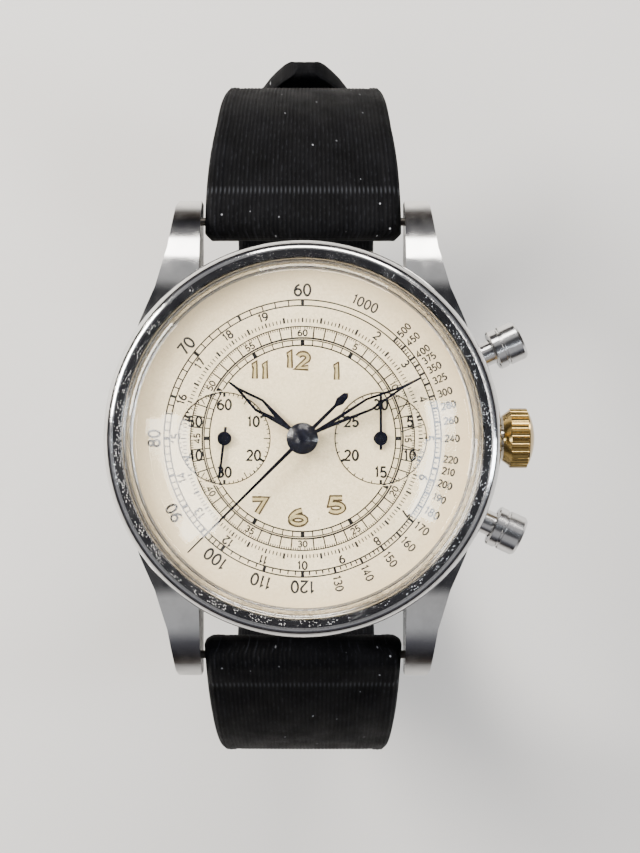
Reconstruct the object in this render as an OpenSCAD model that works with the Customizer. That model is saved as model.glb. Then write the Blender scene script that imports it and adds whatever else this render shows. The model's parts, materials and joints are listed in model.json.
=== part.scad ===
// Two-register chronograph wristwatch on a fabric strap.
// Origin: centre of the case back's flat outer face. +Z out of the dial, +Y to 12 o'clock, +X to the crown.

/* [Case] */
// Diameter of the bezel
bezel_d = 38; // [37.6:0.1:38.4]
// Diameter of the case middle, under the bezel
case_d = 36.8; // [36.4:0.1:37.2]
// Height of the case middle's top, where the bezel sits
case_top = 8.9; // [8.9:0.1:9.2]
// Height of the bezel's top
bezel_top = 11.1; // [11.0:0.1:11.6]
// Width between the lugs
lug_gap = 20; // [19.9:0.1:20.2]
// Distance over the lugs' tips
lug_span = 46.8; // [46.4:0.1:47.4]
// Distance of each spring bar from the centre
bar_y = 21.4; // [21.3:0.1:21.6]
// Height of the spring bars
bar_z = 3.4; // [3.3:0.1:3.6]

/* [Crown and pushers] */
// Height of the winding stem's axis
stem_z = 5.9; // [5.8:0.05:6.0]
// Diameter of the crown
crown_d = 5.8; // [5.4:0.1:6.0]
// Number of flutes round the crown
crown_flutes = 24; // [20:1:28]
// Angle of each pusher above and below the crown
pusher_angle = 24.6; // [24:0.1:25]
// Height of the pushers' axes
pusher_z = 2.6; // [2.5:0.05:2.7]
// Diameter of each pusher's cap
pusher_d = 4; // [3.6:0.1:4.2]

/* [Dial and hands] */
// Distance of each subdial from the centre
subdial_x = 7.45; // [7.4:0.05:7.5]
// Radius of each subdial
subdial_r = 4.47; // [4.3:0.05:4.5]
// Angle of the hour hand, clockwise from 12
hour_angle = 307.5; // [300:0.5:315]
// Angle of the minute hand, clockwise from 12
minute_angle = 62.9; // [60:0.1:66]
// Angle of the chronograph hand, clockwise from 12
chrono_angle = 225.2; // [220:0.1:230]
// Angle of the running seconds hand, clockwise from 60
seconds_angle = 187.5; // [180:0.5:195]

/* [Strap] */
// Thickness of each strap half
strap_t = 2.0; // [1.9:0.1:2.1]
// Width of the strap at the buckle
strap_end_w = 16; // [15.8:0.1:16.2]
// Middle radius of the half that carries the buckle, about the point between the spring bars
inner_loop_r = 41.8; // [41.6:0.1:42]
// Reach of that half's middle line towards 12 o'clock
reach_12 = 36.3; // [35.8:0.1:36.6]
// Reach of the other half's middle line towards 6 o'clock
reach_6 = 32.9; // [32.6:0.1:33.2]

/* [Hidden] */
$fn = 64;
e = 0.01;

// Case radii
bezel_r = bezel_d / 2;
case_r = case_d / 2;
case_bore_r = 16.7;
crystal_r = 17.12;
crystal_wall = 0.67;
flank_r = 1.4;
back_t = 0.8;

// Movement heights, from the case back up to the dial
move_r = 14.6;
bridge_z0 = 3.2;
bridge_z1 = 4.15;
plate_z0 = 6.0;
plate_z1 = 7.4;
dial_z0 = 8.5;
dial_z1 = 8.9;
chrono_wheel_z = 2.25;
lever_z = 1.8;
wind_z = 2.75;
run = 0.03;        // radial play of a running fit
jewel_r = 0.6;
fourth_arbor_r = 0.2;
runner_arbor_r = 0.22;
centre_tube_r = 0.42;
cannon_r = 0.62;
hour_tube_r = 0.85;
recorder_arbor_r = 0.15;

// Tooth counts and modules
m_centre = 0.15;
m_third = 0.13;
m_fourth = 0.11;
m_motion = 0.18;
m_wind = 0.22;
m_chrono = 0.1;
n_centre = 64;
n_centre_pinion = 12;
n_barrel = 84;
n_third = 60;
n_fourth = 70;
n_pinion = 8;
n_escape_pinion = 7;
n_cannon = 10;
n_minute = 30;
n_hour = 32;
n_winding_pinion = 12;
n_crown = 15;
n_wind = 16;
n_ratchet = 40;
n_clutch = 24;
n_runner = 52;

function polar(r, a) = [r * cos(a), r * sin(a)];
function bearing(p, q) = atan2(q.y - p.y, q.x - p.x);
function gear_gap(m, na, nb) = m * (na + nb) / 2;
// The point at distance ra from p and rb from q, on the left of the line p to q when side is 1
function meet(p, ra, q, rb, side) =
    let (d = norm(q - p), along = (ra * ra - rb * rb + d * d) / (2 * d), across = sqrt(ra * ra - along * along))
    p + polar(along, bearing(p, q)) + polar(side * across, bearing(p, q) + 90);
// Angle of a tooth of wheel b that meshes with wheel a, whose own tooth is at angle pa
function mesh(a, na, pa, b, nb) = bearing(a, b) + 180 - 360 / nb * (0.5 - (bearing(a, b) - pa) * na / 360);
function clock(a) = 90 - a;

// Arbor positions
centre = [0, 0];
fourth = [-subdial_x, 0];
recorder = [subdial_x, 0];
third = meet(centre, gear_gap(m_centre, n_centre, n_pinion), fourth, gear_gap(m_third, n_third, n_pinion), -1);
escape = fourth + polar(gear_gap(m_fourth, n_fourth, n_escape_pinion), -75);
escape_r = 2.2;
fork_line = -55.8;
pallet = escape + polar(2.62, fork_line);
balance = escape + polar(6.66, fork_line);
barrel = polar(gear_gap(m_centre, n_barrel, n_centre_pinion), 60);
crown_hub = [10.75, 0];
wind_hub = meet(crown_hub, gear_gap(m_wind, n_crown, n_wind), barrel, gear_gap(m_wind, n_wind, n_ratchet), -1);
minute_hub = polar(gear_gap(m_motion, n_cannon, n_minute), 100);
runner_gap = 0.3;   // how far the clutch wheel stands back from the runner when the chronograph is stopped
clutch = meet(fourth, gear_gap(m_chrono, n_runner, n_clutch), centre,
    gear_gap(m_chrono, n_runner, n_clutch) + runner_gap, -1);
column = [8.6, 7.9];
start_pivot = [12.96, 1.98];
reset_pivot = [12.9, -2.1];
setting_pivot = [13.5, 3.0];

click_tip_gap = 0.08;
ratchet_tip = n_ratchet * m_wind / 2 + 0.9 * m_wind;
click_pivot = barrel + polar(ratchet_tip + 1.3, 108);

// Tooth phases
third_phase = mesh(centre, n_centre, 0, third, n_pinion);
fourth_phase = mesh(third, n_third, third_phase, fourth, n_pinion);
escape_phase = mesh(fourth, n_fourth, fourth_phase, escape, n_escape_pinion);
barrel_phase = mesh(centre, n_centre_pinion, 0, barrel, n_barrel);
minute_phase = mesh(centre, n_cannon, 0, minute_hub, n_minute);
hour_phase = mesh(minute_hub, n_pinion, minute_phase, centre, n_hour);
crown_phase = 180 / n_crown;
wind_phase = mesh(crown_hub, n_crown, crown_phase, wind_hub, n_wind);
ratchet_phase = mesh(wind_hub, n_wind, wind_phase, barrel, n_ratchet);
clutch_phase = mesh(fourth, n_runner, 0, clutch, n_clutch);

// Basic shapes
module at(p, z = 0) translate([p.x, p.y, z]) children();
module slab(z0, z1) translate([0, 0, z0]) linear_extrude(z1 - z0) children();
module disc(r, z0, z1) translate([0, 0, z0]) cylinder(r = r, h = z1 - z0);
module ring(ro, ri, z0, z1) slab(z0, z1) difference() {
    circle(ro);
    circle(ri);
}
module bar2d(p, q, w) translate(p) rotate(bearing(p, q)) translate([0, -w / 2]) square([norm(q - p), w]);
// A flat lever through the given points, with round ends a little wider than its arms
module lever2d(pts, w) {
    for (p = pts) translate(p) circle(w / 2);
    for (i = [1 : len(pts) - 1]) bar2d(pts[i - 1], pts[i], 0.92 * w);
}
// A bar along X, seen at (y, z)
module bar_x(y, z, r, half) translate([-half, y, z]) rotate([0, 90, 0]) cylinder(r = r, h = 2 * half);
// Turns a profile drawn in (y, z) into a solid, half wide each side of X = 0
module across(half) rotate([90, 0, 90]) translate([0, 0, -half]) linear_extrude(2 * half) children();

// Wheel teeth: four points a tooth, thin enough to leave play on each side
module teeth2d(n, m, phase, slim = 0.4, top = 0.9, root = 1.25) {
    r = n * m / 2;
    pitch = 360 / n;
    polygon([for (k = [0 : n - 1], c = [
        [r - root * m, -0.30], [r + top * m, -0.13], [r + top * m, 0.13], [r - root * m, 0.30]])
        polar(c[0], phase + pitch * (k + c[1] * slim / 0.4))]);
}
module wheel2d(n, m, phase, hub, spokes = 4) {
    rim = n * m / 2 - 1.25 * m - 0.35;
    difference() {
        teeth2d(n, m, phase);
        circle(rim);
    }
    circle(hub);
    for (k = [0 : spokes - 1]) rotate(phase + k * 360 / spokes) translate([0, -0.17]) square([rim + 0.1, 0.34]);
}
module pinion2d(n, m, phase) teeth2d(n, m, phase, 0.34, 0.75, 1.25);
// An archimedean spring strip
module spiral2d(r0, r1, turns, w, start = 0) {
    steps = turns * 24;
    function spot(i, off) = polar(r0 + (r1 - r0) * i / steps + off, start + i * 15);
    polygon(concat([for (i = [0 : steps]) spot(i, w / 2)], [for (i = [steps : -1 : 0]) spot(i, -w / 2)]));
}

// Case
module lug() {
    lug_tip = lug_span / 2;
    lug_in = lug_gap / 2;
    intersection() {
        linear_extrude(case_top) polygon([[lug_in, 12.5], [lug_in, lug_tip], [lug_in + 2.2, lug_tip],
            [lug_in + 2.5, lug_tip - 0.5], [lug_in + 3.1, 18.5], [lug_in + 4.2, 14.6], [lug_in + 5.7, 11.2],
            [lug_in + 6.6, 8.4]]);
        across(20) difference() {
            intersection() {
                translate([13, -4.9]) circle(13.6);
                translate([6, back_t]) square([30, 9]);
            }
            translate([lug_tip + 3.4, -2.6]) circle(4.6);
            translate([bar_y, bar_z]) circle(0.45);
        }
    }
}
module case_bores() {
    disc(case_bore_r, -1, 20);
    translate([0, 0, stem_z]) rotate([0, 90, 0]) cylinder(r = 1.2, h = 25);
    for (s = [-1, 1]) rotate(s * pusher_angle) translate([0, 0, pusher_z]) rotate([0, 90, 0])
        cylinder(r = 1.2, h = 25);
}
module case_middle() color("gainsboro") difference() {
    union() {
        rotate_extrude() polygon([[10, back_t], [case_r - 1.2, back_t], [case_r - 0.5, 1.7], [case_r, 3.4],
            [case_r, case_top], [10, case_top]]);
        for (mx = [0, 1], my = [0, 1]) mirror([mx, 0, 0]) mirror([0, my, 0]) lug();
    }
    case_bores();
}
// Rounded flank, a fine groove, and a flat ring that holds the crystal
module bezel() color("gainsboro") rotate_extrude()
    polygon(concat([[crystal_r, case_top], [bezel_r, case_top]],
        arc([bezel_r - flank_r, bezel_top - flank_r], flank_r, 0, 68, 10),
        [[17.97, bezel_top - 0.14], [17.88, bezel_top - 0.14], [17.86, bezel_top], [17.3, bezel_top],
            [crystal_r, bezel_top - 0.15]]));
crystal_z0 = dial_z1 + 0.02;
crystal_curve = 75;
// Outline of half a dome, from its foot on the axis: radius, height of its top, radius of its curve
// and radius of its shoulder, which is tangent to both the curve and the wall
function dome(r, top, curve, shoulder, z0) =
    let (c = [r - shoulder, top - curve + sqrt(pow(curve - shoulder, 2) - pow(r - shoulder, 2))],
        meet_a = bearing([0, top - curve], c))
    concat([[0, z0], [r, z0]], arc(c, shoulder, 0, meet_a, 8),
        arc([0, top - curve], curve, meet_a + (90 - meet_a) / 12, 90 - (90 - meet_a) / 12, 10), [[0, top]]);
module crystal() color("white", 0.3) rotate_extrude() difference() {
    polygon(dome(crystal_r, 13.55, crystal_curve, 1.3, crystal_z0));
    polygon(dome(crystal_r - crystal_wall, 12.45, crystal_curve, 0.9, crystal_z0 - 1));
}
module case_back() color("silver") difference() {
    union() {
        rotate_extrude() polygon([[0, 0], [15.2, 0], [15.8, 0.35], [17.0, 0.5], [17.2, back_t], [0, back_t]]);
        ring(case_bore_r - 0.02, case_bore_r - 0.7, back_t, 1.5);
    }
    for (k = [0 : 5]) rotate(k * 60) translate([16.6, -1, -1]) cube([2, 2, 1.6]);
}
module tube_r(r0, r1, ro, ri) rotate([0, 90, 0]) difference() {
    translate([0, 0, r0]) cylinder(r = ro, h = r1 - r0);
    translate([0, 0, r0 - 1]) cylinder(r = ri, h = r1 - r0 + 2);
}
module case_tubes() color("silver") {
    translate([0, 0, stem_z]) tube_r(17.0, 19.9, 1.2, 0.65);
    for (s = [-1, 1]) rotate(s * pusher_angle) translate([0, 0, pusher_z]) tube_r(17.0, 21.0, 1.2, 0.74);
}
module movement_ring() color("silver") difference() {
    ring(case_bore_r - 0.05, move_r + 0.02, 3.6, 8.2);
    translate([10, -1.7, stem_z - 1.4]) cube([10, 3.4, 8]);
}
module spring_bars() color("dimgray") for (s = [-1, 1]) {
    bar_x(s * bar_y, bar_z, 0.75, lug_gap / 2 - 0.4);
    bar_x(s * bar_y, bar_z, 0.4, lug_gap / 2 + 0.9);
}

// Crown, stem and pushers
module crown() color("gold") translate([19.4, 0, stem_z]) rotate([0, 90, 0]) {
    r = crown_d / 2;
    difference() {
        union() {
            cylinder(r1 = r - 0.7, r2 = r - 0.15, h = 0.75);
            translate([0, 0, 0.75]) linear_extrude(1.65) crown_flutes2d(r);
            translate([0, 0, 2.4]) intersection() {
                translate([0, 0, -5]) sphere(r = 5.75);
                cylinder(r = r - 0.3, h = 1);
            }
        }
        translate([0, 0, -1]) cylinder(r = 1.32, h = 2.4);
        translate([0, 0, -1]) cylinder(r = 0.6, h = 2.9);
    }
}
module crown_flutes2d(r) difference() {
    circle(r);
    for (k = [0 : crown_flutes - 1]) rotate((k + 0.5) * 360 / crown_flutes) translate([r + 0.06, 0]) circle(0.3);
}
module winding_stem() color("silver") translate([0, 0, stem_z]) rotate([0, 90, 0]) difference() {
    union() {
        translate([0, 0, 8.15]) cylinder(r = 0.4, h = 2);
        translate([0, 0, 9.6]) cylinder(r = 0.6, h = 11.7);
    }
    translate([0, 0, setting_pivot.x - 0.4]) difference() {
        cylinder(r = 2, h = 0.8);
        cylinder(r = 0.32, h = 0.8);
    }
}
module pusher(inner_end) translate([0, 0, pusher_z]) rotate([0, 90, 0]) {
    r = pusher_d / 2;
    translate([0, 0, inner_end]) cylinder(r = 0.4, h = 17.3 - inner_end);
    translate([0, 0, 17.2]) cylinder(r = 0.7, h = 5.4);
    translate([0, 0, 20.7]) rotate_extrude() polygon([[1.32, 0], [r - 0.15, 0], [r, 0.15], [r, 0.9],
        [r - 0.12, 1.0], [r - 0.12, 1.15], [r, 1.25], [r, 2.75], [r - 0.2, 3], [0, 3], [0, 1.9], [1.32, 1.9]]);
}
module start_pusher() color("gainsboro") rotate(pusher_angle) pusher(12.8);
module reset_pusher() color("gainsboro") rotate(-pusher_angle) pusher(13.4);
// A coil spring as a swept ring of small hexagons
module coil(r, wire, h, turns) {
    steps = turns * 10;
    sides = 5;
    points = [for (i = [0 : steps], j = [0 : sides - 1])
        let (q = r + wire * cos(j * 360 / sides))
        [q * cos(i * 36), q * sin(i * 36), h * i / steps + wire * sin(j * 360 / sides)]];
    body = [for (i = [0 : steps - 1], j = [0 : sides - 1])
        let (k = (j + 1) % sides) [i * sides + j, (i + 1) * sides + j, (i + 1) * sides + k, i * sides + k]];
    ends = [[for (j = [0 : sides - 1]) j], [for (j = [sides - 1 : -1 : 0]) steps * sides + j]];
    polyhedron(points, concat(body, ends));
}
module pusher_spring() translate([0, 0, pusher_z]) rotate([0, 90, 0]) translate([0, 0, 21.15])
    coil(1.0, 0.1, 1.3, 4);
module start_pusher_spring() color("gray") rotate(pusher_angle) pusher_spring();
module reset_pusher_spring() color("gray") rotate(-pusher_angle) pusher_spring();

// Dial and hands
module dial() color("antiquewhite") difference() {
    union() {
        disc(case_bore_r - 0.1, dial_z0, dial_z1);
        for (a = [40, 220]) at(polar(13.6, a)) disc(0.4, plate_z1 - 0.5, dial_z0 + e);
    }
    disc(0.95, 0, 20);
    for (p = [fourth, recorder]) at(p) {
        disc(0.4, 0, 20);
        disc(subdial_r, dial_z1 - 0.07, 20);
    }
}
// A pierced leaf hand, pointing along +X: length, widest half width, where it is widest and where it closes
module leaf2d(length, half, wide_at, close_at, frame) {
    difference() {
        polygon([[1.0, 0.13], [wide_at, half], [close_at, 0.15], [length - 0.3, 0.11], [length, 0],
            [length - 0.3, -0.11], [close_at, -0.15], [wide_at, -half], [1.0, -0.13]]);
        polygon([[3.4, 0], [wide_at, half - frame], [close_at - 0.5, 0], [wide_at, frame - half]]);
    }
}
module hour_hand() color("midnightblue") difference() {
    union() {
        slab(9.35, 9.5) rotate(clock(hour_angle)) leaf2d(8.9, 0.68, 5.2, 7.7, 0.24);
        disc(1.35, 9.33, 9.52);
    }
    disc(hour_tube_r, 0, 20);
}
module minute_hand() color("midnightblue") difference() {
    union() {
        slab(9.75, 9.9) rotate(clock(minute_angle)) leaf2d(12.74, 0.65, 7.1, 10.6, 0.23);
        disc(1.2, 9.73, 9.92);
    }
    disc(cannon_r, 0, 20);
}
module chronograph_hand() color("midnightblue") difference() {
    union() {
        slab(10.15, 10.28) rotate(clock(chrono_angle)) polygon([[6, 0.14], [15.3, 0.07], [15.3, -0.07],
            [6, -0.14], [0, -0.2], [-4.4, -0.15], [-5.0, -0.42], [-5.8, -0.3], [-6.1, 0], [-5.8, 0.3],
            [-5.0, 0.42], [-4.4, 0.15], [0, 0.2]]);
        intersection() {
            disc(1.5, 10.06, 10.95);
            translate([0, 0, 8.45]) sphere(r = 2.5);
        }
    }
    disc(runner_arbor_r, 0, 10.5);
}
small_hub_top = 9.26;
small_arbor_top = 9.15;
module small_hand(length, angle, bore) color("midnightblue") difference() {
    union() {
        slab(9.05, 9.17) rotate(clock(angle)) polygon([[-1.1, 0.13], [length - 0.2, 0.12], [length, 0],
            [length - 0.2, -0.12], [-1.1, -0.13]]);
        disc(0.67, 9.03, small_hub_top);
    }
    disc(bore, 0, small_arbor_top + 0.01);
}
module running_seconds_hand() at(fourth) small_hand(3.8, seconds_angle, fourth_arbor_r);
module minute_recorder_hand() at(recorder) small_hand(4.2, 0, recorder_arbor_r);

// Plates and bridges
module plate_bores() {
    disc(centre_tube_r + run, 0, 20);
    for (p = [third, fourth, escape, pallet, balance]) at(p) {
        disc(0.25, 0, 20);
        disc(jewel_r, plate_z0 - 1, plate_z0 + 0.35);
    }
    at(fourth) disc(0.3, 0, 20);
    at(recorder) disc(0.25, 0, 20);
}
module main_plate() color("goldenrod") difference() {
    disc(move_r, plate_z0, plate_z1);
    plate_bores();
    at(barrel) {
        disc(6.6, 0, 6.7);
        disc(0.6 + run, 0, 20);
    }
    for (a = [40, 220]) at(polar(13.6, a)) disc(0.42, 0, 20);
    translate([9.5, -1.5, 0]) cube([10, 3, 20]);
    translate([8, 0, stem_z]) rotate([0, 90, 0]) cylinder(r = 0.43, h = 4);
    at(minute_hub) disc(0.3 + run, 6.5, 20);
    at(setting_pivot) disc(0.3 + run, 0, 20);
}
module rim_leg(a0, a1, r_in) intersection() {
    ring(14.4, r_in, bridge_z1 - e, plate_z0);
    slab(0, 20) polygon(concat([[0, 0]], [for (i = [0 : 6]) polar(30, a0 + (a1 - a0) * i / 6)]));
}
module barrel_bridge() color("goldenrod") {
    difference() {
        slab(bridge_z0, bridge_z1) intersection() {
            circle(14.4);
            polygon([[2.5, -5.6], [20, -5.6], [20, 20], [-2.2, 20], [-2.2, 8.4], [2.5, 4.6]]);
        }
        at(barrel) disc(0.6 + run, 0, 20);
        at(crown_hub) disc(1.1 + run, 0, 20);
        at(wind_hub) disc(0.45 + run, 0, 20);
        at(recorder) {
            disc(0.25, 0, 20);
            disc(jewel_r, 0, bridge_z0 + 0.35);
        }
    }
    rim_leg(24, 100, 13.8);
    rim_leg(-22, -12, 12.4);
    at(column) disc(0.3, 1.65, bridge_z0 + e);
    at(start_pivot) disc(0.4, 1.65, bridge_z0 + e);
    at(reset_pivot) disc(0.4, 1.65, bridge_z0 + e);
    at(click_pivot) disc(0.3 - run, wind_z, bridge_z0 + e);
}
module train_bridge() color("goldenrod") difference() {
    union() {
        slab(bridge_z0, bridge_z1) intersection() {
            circle(14.4);
            polygon([[2.3, -4.9], [-20, -4.9], [-20, 12], [-2.4, 12], [-2.4, 8.2], [2.3, 4.4]]);
        }
        rim_leg(128, 196, 13.2);
    }
    disc(centre_tube_r + run, 0, 20);
    for (p = [third, fourth, escape]) at(p) {
        disc(0.3, 0, 20);
        disc(jewel_r, bridge_z0 + 0.6, 20);
    }
}
cock_z0 = 2.75;
cock_foot = [-9.3, -9.4];
pallet_foot = [-7.7, -7.5];
module balance_cock() color("goldenrod") difference() {
    union() {
        slab(cock_z0, 3.45) {
            lever2d([cock_foot, balance], 2.4);
            translate(balance) circle(1.7);
        }
        at(cock_foot) disc(1.1, 3.4, plate_z0);
    }
    at(balance) {
        disc(0.25, 0, 20);
        disc(jewel_r, 3.1, 20);
    }
}
module pallet_bridge() color("goldenrod") difference() {
    union() {
        slab(4.55, 4.95) lever2d([pallet_foot, pallet], 1.6);
        at(pallet_foot) disc(0.7, 4.9, plate_z0);
    }
    at(pallet) {
        disc(0.25, 0, 20);
        disc(jewel_r, 4.6, 20);
    }
}
module screw(head_z) difference() {
    disc(0.75, head_z - 0.3, head_z);
    translate([-1, -0.1, head_z - 0.45]) cube([2, 0.2, 0.3]);
}
module bridge_screws() color("steelblue") {
    for (p = [polar(13.4, 62), polar(13.4, 96), polar(13.5, 150), polar(13.5, 185)])
        at(p) screw(bridge_z0);
    at(cock_foot) screw(cock_z0);
}
module jewel(z0, bore) color("crimson") ring(jewel_r, bore, z0, z0 + 0.35);
module jewels() {
    for (p = [third, escape, pallet, balance]) at(p) jewel(plate_z0, 0.14);
    at(fourth) jewel(plate_z0, fourth_arbor_r + run);
    for (p = [third, escape]) at(p) jewel(bridge_z0 + 0.6, 0.14);
    at(fourth) jewel(bridge_z0 + 0.6, fourth_arbor_r + run);
    at(pallet) jewel(4.6, 0.14);
    at(balance) jewel(3.1, 0.14);
    at(recorder) jewel(bridge_z0, recorder_arbor_r + run);
}

// Power and winding
module barrel_drum() color("gold") at(barrel) difference() {
    union() {
        disc(6.0, 4.85, 6.6);
        slab(4.85, 5.25) teeth2d(n_barrel, m_centre, barrel_phase);
    }
    disc(5.7, 5.05, 6.4);
    disc(1.1 + run, 0, 20);
}
module mainspring() color("slategray") at(barrel) slab(5.15, 6.3) spiral2d(1.75, 5.5, 9, 0.13);
module barrel_arbor() color("silver") at(barrel) {
    disc(0.6, bridge_z0 - 0.1, 7.3);
    disc(1.1, 4.6, plate_z0 + 0.65);
    disc(1.5, 5.15, 6.3);
    slab(2.6, bridge_z0 - 0.1) rotate(ratchet_phase) square(0.8, center = true);
}
module ratchet_wheel() color("silver") at(barrel) slab(wind_z, 3.1) difference() {
    teeth2d(n_ratchet, m_wind, ratchet_phase);
    rotate(ratchet_phase) square(0.8, center = true);
}
module winding_wheel() color("silver") at(wind_hub) {
    slab(wind_z, 3.1) teeth2d(n_wind, m_wind, wind_phase);
    disc(0.45, 3.05, bridge_z1);
}
module crown_wheel() color("silver") at(crown_hub) {
    slab(wind_z, 3.1) teeth2d(n_crown, m_wind, crown_phase);
    disc(1.1, 3.05, 4.3);
    slab(4.3, 4.72) teeth2d(n_crown, m_wind, crown_phase, 0.34);
}
module click() color("silver") {
    slab(wind_z, 3.1) difference() {
        union() {
            translate(click_pivot) circle(0.8);
            lever2d([click_pivot, barrel + polar(ratchet_tip + click_tip_gap + 0.15, 92)], 0.3);
        }
        translate(click_pivot) circle(0.3);
    }
}
module winding_pinion() color("silver") translate([12.15, 0, stem_z]) rotate([0, 90, 0]) linear_extrude(0.8)
    difference() {
        teeth2d(n_winding_pinion, 0.2, 0, 0.34, 0.8);
        circle(0.6 + run);
    }
module sliding_pinion() color("silver") translate([0, 0, stem_z]) rotate([0, 90, 0]) difference() {
    translate([0, 0, 10.6]) cylinder(r = 1.0, h = 1.5);
    translate([0, 0, 9]) cylinder(r = 0.6 + run, h = 9);
    translate([0, 0, 11.1]) difference() {
        cylinder(r = 2, h = 0.5);
        cylinder(r = 0.8, h = 0.5);
    }
}
module setting_lever() color("silver") {
    slab(7.5, 7.85) lever2d([setting_pivot, [setting_pivot.x, 0]], 0.7);
    at([setting_pivot.x, 0]) disc(0.15, stem_z + 0.4, 7.6);
    at(setting_pivot) disc(0.3, 6.4, 7.6);
}

// Going train and motion work
module centre_wheel() color("gold") difference() {
    union() {
        slab(4.55, 4.75) wheel2d(n_centre, m_centre, 0, 0.9);
        slab(4.75, 5.7) pinion2d(n_centre_pinion, m_centre, 0);
        disc(centre_tube_r, 3.0, 9.6);
    }
    disc(runner_arbor_r + run, 0, 20);
}
module cannon_pinion() color("gold") difference() {
    union() {
        slab(7.5, 7.76) pinion2d(n_cannon, m_motion, 0);
        disc(cannon_r, 7.76, 9.95);
    }
    disc(centre_tube_r, 0, 9.6);
    disc(runner_arbor_r + run, 0, 20);
}
module minute_wheel() color("gold") at(minute_hub) {
    slab(7.5, 7.76) wheel2d(n_minute, m_motion, minute_phase, 0.6);
    slab(7.7, 8.2) pinion2d(n_pinion, m_motion, minute_phase);
    disc(0.3, 6.6, 8.35);
}
module hour_wheel() color("gold") difference() {
    union() {
        slab(7.86, 8.12) wheel2d(n_hour, m_motion, hour_phase, 1.2);
        disc(hour_tube_r, 7.86, 9.55);
    }
    disc(cannon_r + run, 0, 20);
}
module third_wheel() color("gold") at(third) {
    slab(4.25, 4.43) wheel2d(n_third, m_third, third_phase, 0.6);
    slab(4.43, 4.9) pinion2d(n_pinion, m_centre, third_phase);
    disc(0.12, 3.6, plate_z0 + 0.35);
    disc(0.2, 4.2, 5.9);
}
module fourth_wheel() color("gold") at(fourth) {
    slab(5.0, 5.2) wheel2d(n_fourth, m_fourth, fourth_phase, 0.6);
    slab(4.18, 5.0) pinion2d(n_pinion, m_third, fourth_phase);
    slab(chrono_wheel_z, chrono_wheel_z + 0.2) wheel2d(n_runner, m_chrono, 0, 0.6, 5);
    disc(fourth_arbor_r, chrono_wheel_z, small_arbor_top);
}
module escape_wheel() color("silver") at(escape) {
    slab(4.9, 5.35) pinion2d(n_escape_pinion, m_fourth, escape_phase);
    slab(5.35, 5.55) polygon([for (k = [0 : 14], c = [[1.65, 0], [1.65, 11], [escape_r, 17], [escape_r - 0.08, 20]])
        polar(c[0], k * 24 + c[1])]);
    disc(0.12, 3.6, plate_z0 + 0.35);
    disc(0.16, 3.9, 5.9);
}
module pallet_fork() color("silver") at(pallet) {
    rotate(fork_line) slab(5.35, 5.6) {
        circle(0.5);
        translate([0, -0.18]) square([2.6, 0.36]);
        difference() {
            translate([2.5, -0.45]) square([0.75, 0.9]);
            translate([2.9, -0.17]) square([1, 0.34]);
        }
        rotate(180) for (s = [-1, 1]) bar2d([0, 0], [0.7, s * 1.75], 0.4);
    }
    rotate(fork_line + 180) for (s = [-1, 1]) at([0.72, s * 1.85], 5.3) rotate(s * 20)
        translate([-0.2, -0.15, 0]) cube([0.4, 0.3, 0.35]);
    disc(0.12, 4.62, plate_z0 + 0.35);
    disc(0.2, 5.0, 5.9);
}
module balance_wheel() color("gold") at(balance) {
    slab(3.95, 4.4) {
        difference() {
            circle(3.95);
            circle(3.55);
        }
        circle(0.5);
        rotate(fork_line) translate([-3.7, -0.2]) square([7.4, 0.4]);
    }
    for (k = [0 : 11]) rotate(fork_line + 15 + k * 30) translate([3.85, 0, 4.18]) rotate([0, 90, 0])
        cylinder(r = 0.2, h = 0.35);
    disc(0.95, 5.0, 5.2);
    at(polar(0.75, fork_line + 180)) disc(0.12, 5.15, 5.3);
    disc(0.12, 3.15, plate_z0 + 0.35);
    disc(0.25, 3.6, 5.9);
}
module hairspring() color("slategray") at(balance) slab(3.6, 3.75) spiral2d(0.45, 2.4, 7, 0.06, 40);

// Chronograph work
module heart2d(r0, r1, face) polygon([for (i = [0 : 35])
    polar(r0 + (r1 - r0) * abs(i - 18) / 18, face + 180 + i * 10)]);
module column_wheel() color("silver") at(column) difference() {
    union() {
        slab(2.3, 2.6) teeth2d(12, 0.2, 0);
        disc(0.7, 1.8, 2.35);
        slab(1.75, 2.3) for (k = [0 : 5]) rotate(k * 60) translate([0.6, -0.25]) square([0.6, 0.5]);
    }
    disc(0.3 + run, 0, 20);
}
start_contact = start_pivot + polar(3.6, 90 + pusher_angle);
module operating_lever() color("silver") slab(2.3, 2.6) difference() {
    union() {
        lever2d([start_pivot, start_contact - polar(0.5, pusher_angle), start_pivot + polar(5.1, 121)], 0.9);
        lever2d([start_pivot + polar(5.1, 121), start_pivot + polar(5.4, 117)], 0.5);
    }
    translate(start_pivot) circle(0.4 + run);
}
reset_contact = reset_pivot + polar(3.4, -90 - pusher_angle);
hammer_elbow = [9.4, -6.2];
module hammer() color("silver") difference() {
    union() {
        slab(lever_z, 2.6) lever2d([reset_pivot, reset_contact - polar(0.5, -pusher_angle)], 0.9);
        slab(lever_z, 2.1) lever2d([reset_contact - polar(0.5, -pusher_angle), hammer_elbow, [4.8, -5.4],
            [1.7, -4.9]], 0.8);
        slab(lever_z, 2.1) lever2d([hammer_elbow, [8.6, -3.2]], 0.7);
    }
    at(reset_pivot) disc(0.4 + run, 0, 20);
}
module clutch_lever() color("silver") slab(lever_z, 2.1) difference() {
    union() {
        lever2d([fourth, clutch, [-1.4, -4.3]], 0.9);
        translate(fourth) circle(0.9);
    }
    translate(clutch) circle(0.2 + run);
}
module clutch_wheel() color("gold") at(clutch) {
    slab(chrono_wheel_z, chrono_wheel_z + 0.2) wheel2d(n_clutch, m_chrono, clutch_phase, 0.4, 3);
    disc(0.2, 1.75, chrono_wheel_z + 0.2);
}
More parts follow.
